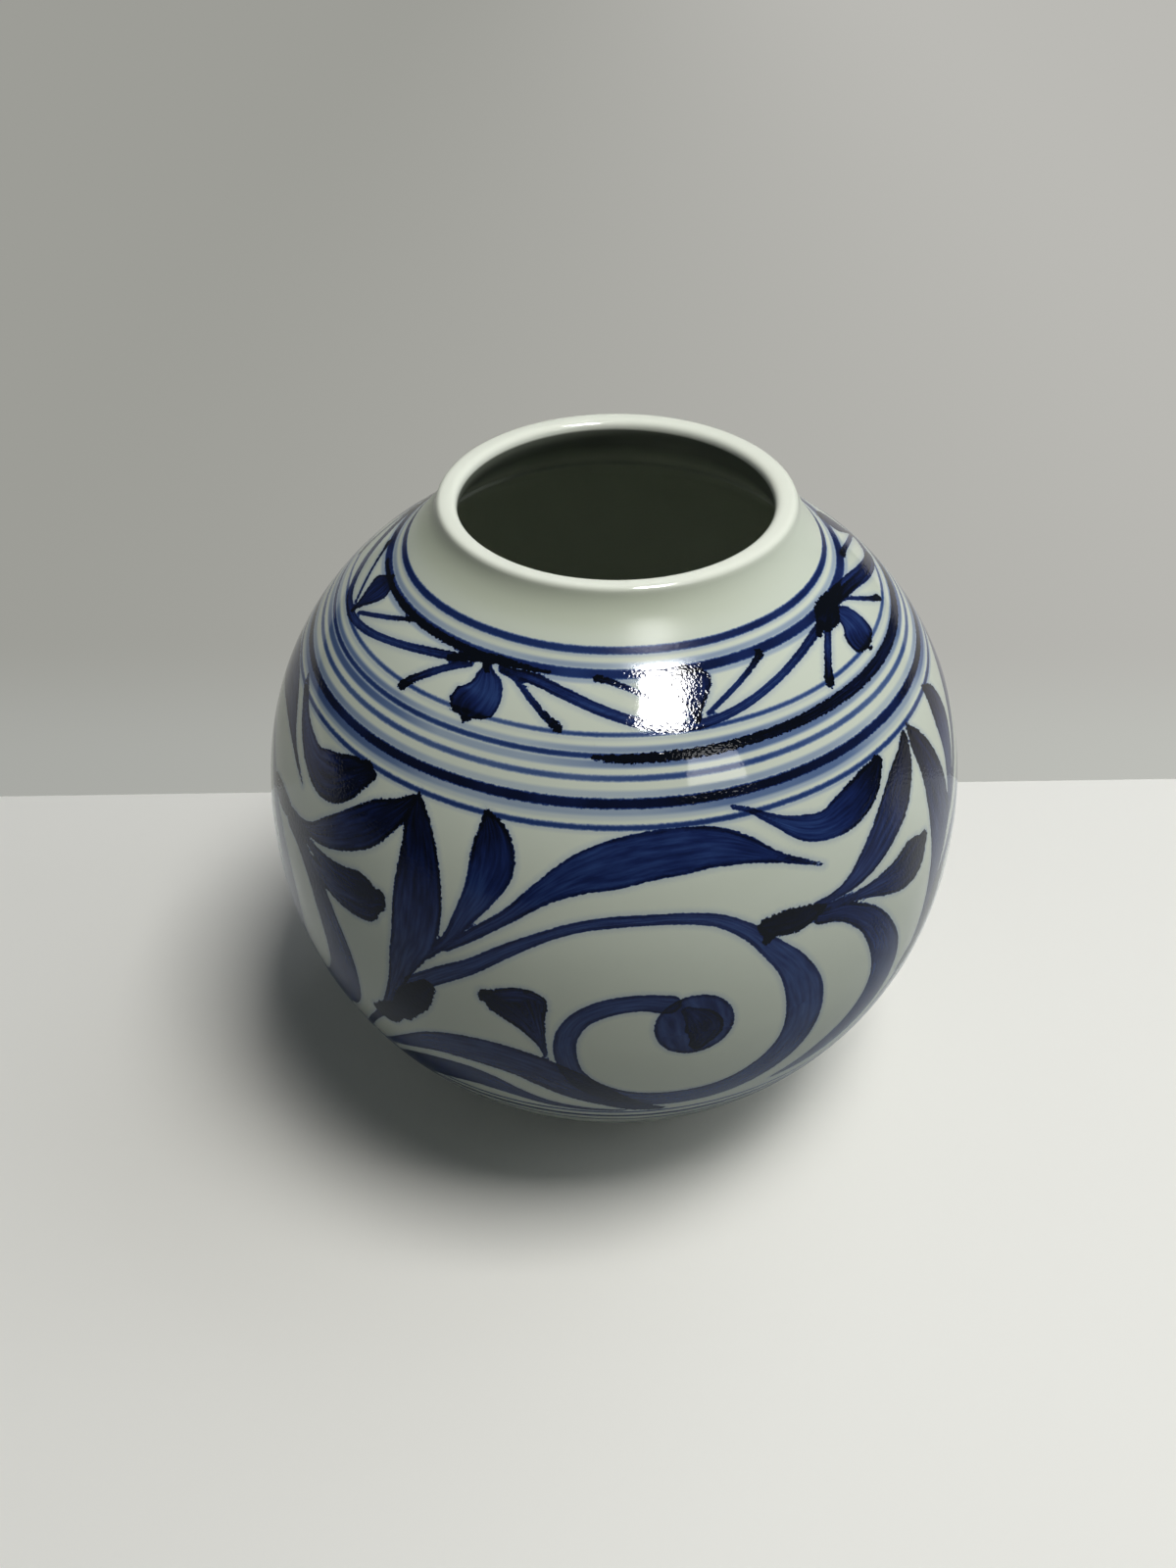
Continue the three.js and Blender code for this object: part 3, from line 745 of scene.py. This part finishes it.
painted_pieces = [lower_bowl, belly_slip, upper_bowl, collar_slip, collar]
for piece in painted_pieces:
    mesh = piece.data
    count = len(mesh.vertices)
    place, level = np.empty(count * 3), np.empty(count)
    mesh.vertices.foreach_get("co", place)
    mesh.attributes["wall_mm"].data.foreach_get("value", level)
    outside = (level > PAINTED_LOW) & (level < PAINTED_HIGH)
    walls = {"place": place.reshape(-1, 3) / MM, "outside": outside, "strokes": 0}
    for coat in COATS:
        walls[coat] = np.tile(UNTOUCHED, (count, 1))
    hand = np.random.default_rng(7)   # alike for every piece, so that a stroke runs on over a joint
    for turn_on in TURNS:
        for strokes, start in ((SHOULDER_VINE, SHOULDER_VINE_STARTS), (BODY_SCROLL, 0.0)):
            for coat, cobalt, points in strokes:
                turn, rise, swell = hand.normal(0, STRAY)
                loose = 1.0 if turn_on else 0.0   # the front keeps the strokes as they are listed
                moved = [(a + start + turn_on + loose * turn, s + loose * rise, half * (1 + loose * swell))
                         for a, s, half in points]
                lay_stroke(walls, coat, cobalt, moved)
    for coat, cobalt, points in HEAVY_LINES + FULLER_LEAVES:
        lay_stroke(walls, coat, cobalt, points)
    for coat in COATS:
        shape = mesh.attributes.new(coat, "FLOAT_VECTOR", "POINT")
        shape.data.foreach_set("vector", walls[coat][:, :3].ravel())
        amount = mesh.attributes.new(coat + "_cobalt", "FLOAT", "POINT")
        amount.data.foreach_set("value", walls[coat][:, 3])


# The glaze is clear, faintly grey-green feldspar glass, dipped and fired glossy over body and cobalt. It
# gives the eye a hard wet shine, a skin that waves like orange peel, and blue that softens at its edges.
# The glaze ran thin on the lip, which is whiter, partly as painted light, and the hollow under it is a
# shade darker on the left, as painted shade.
RING_LINES = [           # level along the wall, width, cobalt, raggedness: millimetres, but for the cobalt
    (97.6, 1.8, 0.68, 0.25), (92.0, 2.4, 0.72, 0.3), (77.75, 1.0, 0.50, 0.2), (72.95, 1.2, 0.64, 0.2),
    (67.95, 1.3, 0.47, 0.2), (62.3, 2.3, 0.93, 0.4), (56.95, 1.2, 0.60, 0.25),
    (-38.0, 1.1, 0.60, 0.2), (-42.0, 1.7, 0.76, 0.3), (-46.6, 0.9, 0.55, 0.2),
]
WASHES = [               # level along the wall, half-width, cobalt: thin blue that ran from the lines
    (96.4, 0.4, 0.08), (94.0, 0.7, 0.15), (90.4, 0.8, 0.12), (76.7, 0.4, 0.06), (74.4, 0.7, 0.22),
    (71.1, 0.9, 0.30), (64.4, 0.8, 0.18), (60.6, 0.9, 0.32), (59.2, 0.6, 0.12), (55.9, 0.4, 0.10),
]
COBALT_TONES = [         # cobalt from none to the thickest, and its colour under the glaze
    (0.0, "cfd7c9"), (0.12, "a4b3bf"), (0.30, "60769b"), (0.50, "2b4378"), (0.70, "172656"),
    (0.86, "0d1531"), (1.0, "090d15"),
]
LINE_TILT = 3.0          # millimetres along the wall per metre to the right: the lines sit a little skew
LINE_WAVER = 0.9         # how far a line's lowest and highest places lie apart at the most
LINE_FADE = 0.4          # half the width over which a line's edge fades, and a wash's
WASH_FADE = 0.5
WASH_SHARE = (0.55, 1.35)   # the washes' least and greatest strength round the jar
WASH_TURNS = 0.12        # how far the drift goes to either side for these
DRIFT = 55 * MM          # the length over which the lines waver and the washes grow stronger and weaker
LOAD = 26 * MM           # over which the brush's load of cobalt comes and goes
LOAD_SHARE = (0.82, 1.12)   # the least and the greatest share of a line's cobalt that it lays
NOISE_SPAN = (0.3, 0.7)  # most values of a noise lie between these
GRAIN = 0.8 * MM         # of the strokes' ragged edges: real grain is finer, and drawn this coarse to show
STREAK_LENGTH = 9.0      # of the bristles' streaks along a stroke, in millimetres
STREAKS_ACROSS = 4.5     # in half a stroke's width
STREAK_COBALT = (-0.12, 0.1)   # what the streaks take from the cobalt, and what they add
RAGGED_COBALT = (0.55, 1.0)    # a stroke's edge is least ragged with the first amount of cobalt and most
RAGGED = (0.45, 2.0)     # with the second
STROKE_EDGE = (-0.12, 0.22)   # depths inside a stroke's edge, in millimetres: the stroke comes up here,
EDGE_POOL = (1.3, 0.35)  # the cobalt that pooled along the edge here,
FADED_EDGE = (-1.8, 0.0)   # and the faint blue that bled out of it here
POOL_COBALT = 0.16
FADED_COBALT = 0.06
OVERLAP = 0.25           # how much of the thinner one of two crossing strokes adds to the thicker one
NECK_SHADE = (99.0, 106.0)   # the painted shade in the hollow comes up between these distances on the wall and ends between these places to the right
NECK_SHADE_ENDS = (10 * MM, 45 * MM)   # and ends between these places to the right
LIP_GLAZE_AND_LIGHT = (-1.0, 1.8)    # the lip's thin glaze and painted light come up between these, measured on from its outer edge
INSIDE_SHADE = (-0.9, -0.2)       # the inside's painted shade comes up between these, from the lip's inner edge, and turns to a paler tone further down between these
INSIDE_SHADE_DEEP = (5.1, 13.1)   # and turns to the tone further down between these
PEEL = 2.4 * MM          # spacing and depth of the glaze's orange peel, and of its slower waves
PEEL_RISE = 0.006 * MM
WAVE = 14 * MM
WAVE_RISE = 0.04 * MM
CRUST = 0.8 * MM         # and of the rough skin over thick cobalt, drawn coarser than real, to show
CRUST_RISE = 0.06 * MM
CRUST_COBALT = (0.4, 0.86)     # the crust comes up between these amounts of cobalt,
THICK_COBALT = (0.56, 0.82)    # and the duller shine that thick cobalt has between these
SOFT_STARTS = (92.0, 95.5)     # the neck's shine softens between these distances on the wall,
SOFT_ENDS = (110.0, 113.0)     # and is hard again after these
GLOSS = (0.06, 0.05)     # roughness over thin and over thick cobalt
NECK_ROUGHER = 0.2       # and what the neck's hollow and the inside add to it
INSIDE_ROUGHER = 0.4
THICK_DULLS = 0.4        # how much of the neck's dulling thick cobalt has
SHINE = (0.5, 0.08)      # specular level where nothing dulls the glaze, and in the neck's hollow


def off_line(level):
    """How far the wall lies from the middle of a ringed line at a level: |line_level - level|."""
    off = add_node(tree, "Math", {0: line_level, 1: level}, operation="SUBTRACT").outputs[0]
    return add_node(tree, "Math", {0: off}, operation="ABSOLUTE").outputs[0]


glaze, tree = new_material("cobalt_under_clear_glaze")
place = add_node(tree, "TexCoord").outputs["Object"]
right = add_node(tree, "SeparateXYZ", {0: place}).outputs["X"]
wall = add_node(tree, "Attribute", attribute_name="wall_mm").outputs["Fac"]
grain = add_node(tree, "TexNoise", {"Vector": place, "Scale": 1 / GRAIN, "Detail": 2.5, "Roughness": 0.65})
grain = add_node(tree, "Math", {0: grain.outputs[0], 1: 0.5}, operation="SUBTRACT").outputs[0]
drift = add_node(tree, "TexNoise", {"Vector": place, "Scale": 1 / DRIFT, "Detail": 1.0})
drift = add_node(tree, "Math", {0: drift.outputs[0], 1: 0.5}, operation="SUBTRACT").outputs[0]
load = add_node(tree, "TexNoise", {"Vector": place, "Scale": 1 / LOAD, "Detail": 2.0})
span = {1: NOISE_SPAN[0], 2: NOISE_SPAN[1], 3: LOAD_SHARE[0], 4: LOAD_SHARE[1]}
load = add_node(tree, "MapRange", {0: load.outputs[0], **span}).outputs[0]
tilted = add_node(tree, "Math", {0: right, 1: LINE_TILT, 2: wall}, operation="MULTIPLY_ADD").outputs[0]
wavered = {0: drift, 1: LINE_WAVER, 2: tilted}
line_level = add_node(tree, "Math", wavered, operation="MULTIPLY_ADD").outputs[0]

# First the washes, weaker and stronger round the jar, then the ringed lines over them.
density = 0.0
for level, half, cobalt in WASHES:
    span = {1: half + WASH_FADE, 2: half - WASH_FADE, 3: 0.0, 4: cobalt}
    band = add_node(tree, "MapRange", {0: off_line(level), **span}, **SOFT).outputs[0]
    density = add_node(tree, "Math", {0: density, 1: band}, operation="ADD").outputs[0]
span = {1: -WASH_TURNS, 2: WASH_TURNS, 3: WASH_SHARE[0], 4: WASH_SHARE[1]}
wet = add_node(tree, "MapRange", {0: drift, **span}).outputs[0]
density = add_node(tree, "Math", {0: density, 1: wet}, operation="MULTIPLY").outputs[0]
for level, width, cobalt, ragged in RING_LINES:
    edge = {0: grain, 1: 2 * ragged, 2: width / 2}
    half = add_node(tree, "Math", edge, operation="MULTIPLY_ADD").outputs[0]
    depth = add_node(tree, "Math", {0: half, 1: off_line(level)}, operation="SUBTRACT").outputs[0]
    span = {1: -LINE_FADE, 2: LINE_FADE, 3: 0.0, 4: cobalt}
    line = add_node(tree, "MapRange", {0: depth, **span}, **SOFT).outputs[0]
    line = add_node(tree, "Math", {0: line, 1: load}, operation="MULTIPLY").outputs[0]
    density = add_node(tree, "Math", {0: density, 1: line}, operation="MAXIMUM").outputs[0]

# Then the strokes, coat by coat. A stroke is darkest just inside its edge, where the wet cobalt pooled. It
# has the bristles' streaks along it, and bleeds out into a faint blue.
for coat in COATS:
    shape = add_node(tree, "Attribute", attribute_name=coat).outputs["Vector"]
    cobalt = add_node(tree, "Attribute", attribute_name=coat + "_cobalt").outputs["Fac"]
    depth, along, across = add_node(tree, "SeparateXYZ", {0: shape}).outputs
    span = {1: RAGGED_COBALT[0], 2: RAGGED_COBALT[1], 3: RAGGED[0], 4: RAGGED[1]}
    ragged = add_node(tree, "MapRange", {0: cobalt, **span}).outputs[0]
    depth = add_node(tree, "Math", {0: grain, 1: ragged, 2: depth}, operation="MULTIPLY_ADD").outputs[0]
    span = {1: STROKE_EDGE[0], 2: STROKE_EDGE[1]}
    inside = add_node(tree, "MapRange", {0: depth, **span}, **SOFT).outputs[0]
    span = {1: EDGE_POOL[0], 2: EDGE_POOL[1], 3: 0.0, 4: POOL_COBALT}
    edge = add_node(tree, "MapRange", {0: depth, **span}, **SOFT).outputs[0]
    along = add_node(tree, "Math", {0: along, 1: 1 / STREAK_LENGTH}, operation="MULTIPLY").outputs[0]
    across = add_node(tree, "Math", {0: across, 1: STREAKS_ACROSS}, operation="MULTIPLY").outputs[0]
    hairs = add_node(tree, "CombineXYZ", {0: along, 1: across}).outputs[0]
    streak = add_node(tree, "TexNoise", {"Vector": hairs, "Scale": 1.0, "Detail": 3.0}).outputs[0]
    span = {1: NOISE_SPAN[0], 2: NOISE_SPAN[1], 3: STREAK_COBALT[0], 4: STREAK_COBALT[1]}
    streak = add_node(tree, "MapRange", {0: streak, **span}).outputs[0]
    laid = add_node(tree, "Math", {0: cobalt, 1: edge}, operation="ADD").outputs[0]
    laid = add_node(tree, "Math", {0: laid, 1: streak}, operation="ADD").outputs[0]
    laid = add_node(tree, "Math", {0: laid, 1: inside}, operation="MULTIPLY").outputs[0]
    span = {1: FADED_EDGE[0], 2: FADED_EDGE[1], 3: 0.0, 4: FADED_COBALT}
    bled = add_node(tree, "MapRange", {0: depth, **span}, **SOFT).outputs[0]
    laid = add_node(tree, "Math", {0: laid, 1: bled}, operation="MAXIMUM").outputs[0]
    thinner = add_node(tree, "Math", {0: density, 1: laid}, operation="MINIMUM").outputs[0]
    thicker = add_node(tree, "Math", {0: density, 1: laid}, operation="MAXIMUM").outputs[0]
    crossed = {0: thinner, 1: OVERLAP, 2: thicker}
    density = add_node(tree, "Math", crossed, operation="MULTIPLY_ADD").outputs[0]

# The colour under the glaze, then the painted shade in the neck's hollow, the thin glaze and painted light
# on the lip, and the painted shade inside.
tones = add_node(tree, "ValToRGB", {0: density})
stops = tones.color_ramp.elements
while len(stops) < len(COBALT_TONES):
    stops.new(0.5)
for stop, (position, code) in zip(stops, COBALT_TONES):
    stop.position = position
    stop.color = linear(code)
# The hollow under the lip is painted darker on the left, as painted shade, fading out to the right.
hollow = add_node(tree, "MapRange", {0: wall, 1: NECK_SHADE[0], 2: NECK_SHADE[1]}, **SOFT).outputs[0]
span = {1: NECK_SHADE_ENDS[0], 2: NECK_SHADE_ENDS[1], 3: 1.0, 4: 0.0}
shade_leftward = add_node(tree, "MapRange", {0: right, **span}).outputs[0]
painted_shade_in_hollow = add_node(tree, "Math", {0: hollow, 1: shade_leftward}, operation="MULTIPLY").outputs[0]
skin = tones.outputs[0]
skin = add_node(tree, "Mix", {0: painted_shade_in_hollow, 6: skin, 7: linear("c3cbb9")}, data_type="RGBA").outputs[2]
# The lip's crown is whiter, partly from its thin glaze and partly as painted light.
span = {1: lip_outer_edge + LIP_GLAZE_AND_LIGHT[0], 2: lip_outer_edge + LIP_GLAZE_AND_LIGHT[1]}
thin_glaze_and_painted_light = add_node(tree, "MapRange", {0: wall, **span}, **SOFT).outputs[0]
skin = add_node(tree, "Mix", {0: thin_glaze_and_painted_light, 6: skin, 7: linear("f2f7eb")}, data_type="RGBA").outputs[2]
# The inside is painted dark as shade, darkest just under the lip and paler further down.
span = {1: lip_inner_edge + INSIDE_SHADE[0], 2: lip_inner_edge + INSIDE_SHADE[1]}
inner = add_node(tree, "MapRange", {0: wall, **span}, **SOFT).outputs[0]
span = {1: lip_inner_edge + INSIDE_SHADE_DEEP[0], 2: lip_inner_edge + INSIDE_SHADE_DEEP[1]}
deep = add_node(tree, "MapRange", {0: wall, **span}).outputs[0]
inside_painted_shade = add_node(tree, "Mix", {0: deep, 6: linear("6a7065"), 7: linear("b3b9ab")}, data_type="RGBA")
skin = add_node(tree, "Mix", {0: inner, 6: skin, 7: inside_painted_shade.outputs[2]}, data_type="RGBA").outputs[2]

# The surface: orange peel and waves, a crust where the cobalt lies thick, and a softer shine on the neck's
# hollow and inside.
peel = add_node(tree, "TexNoise", {"Vector": place, "Scale": 1 / PEEL, "Detail": 1.0}).outputs[0]
wave = add_node(tree, "TexNoise", {"Vector": place, "Scale": 1 / WAVE, "Detail": 1.0}).outputs[0]
crust = add_node(tree, "TexNoise", {"Vector": place, "Scale": 1 / CRUST, "Detail": 1.0}).outputs[0]
heaped = add_node(tree, "MapRange", {0: density, 1: CRUST_COBALT[0], 2: CRUST_COBALT[1]}).outputs[0]
relief = add_node(tree, "Bump", {"Height": peel, "Strength": 1.0, "Distance": PEEL_RISE}).outputs[0]
relief = add_node(tree, "Bump", {"Height": wave, "Strength": 1.0, "Distance": WAVE_RISE,
                                 "Normal": relief}).outputs[0]
relief = add_node(tree, "Bump", {"Height": crust, "Strength": heaped, "Distance": CRUST_RISE,
                                 "Normal": relief}).outputs[0]
span = {1: THICK_COBALT[0], 2: THICK_COBALT[1]}
thick = add_node(tree, "MapRange", {0: density, **span}, **SOFT).outputs[0]
span = {1: SOFT_STARTS[0], 2: SOFT_STARTS[1]}
neck_start = add_node(tree, "MapRange", {0: wall, **span}, **SOFT).outputs[0]
span = {1: SOFT_ENDS[0], 2: SOFT_ENDS[1], 3: 1.0, 4: 0.0}
neck_end = add_node(tree, "MapRange", {0: wall, **span}).outputs[0]
neck_soft = add_node(tree, "Math", {0: neck_start, 1: neck_end}, operation="MULTIPLY").outputs[0]
rough = add_node(tree, "MapRange", {0: thick, 3: GLOSS[0], 4: GLOSS[1]}).outputs[0]
for part, rise in ((neck_soft, NECK_ROUGHER), (inner, INSIDE_ROUGHER)):
    rough = add_node(tree, "Math", {0: part, 1: rise, 2: rough}, operation="MULTIPLY_ADD").outputs[0]
dulled = {0: thick, 1: THICK_DULLS, 2: neck_soft}
dim = add_node(tree, "Math", dulled, operation="MULTIPLY_ADD").outputs[0]
shine = add_node(tree, "MapRange", {0: dim, 3: SHINE[0], 4: SHINE[1]}).outputs[0]
body = add_node(tree, "BsdfPrincipled", {"Base Color": skin, "Roughness": rough, "IOR": GLASS_IOR,
                                         "Specular IOR Level": shine, "Normal": relief}).outputs[0]
add_node(tree, "OutputMaterial", {"Surface": body})
for piece in painted_pieces:
    piece.data.materials.append(glaze)
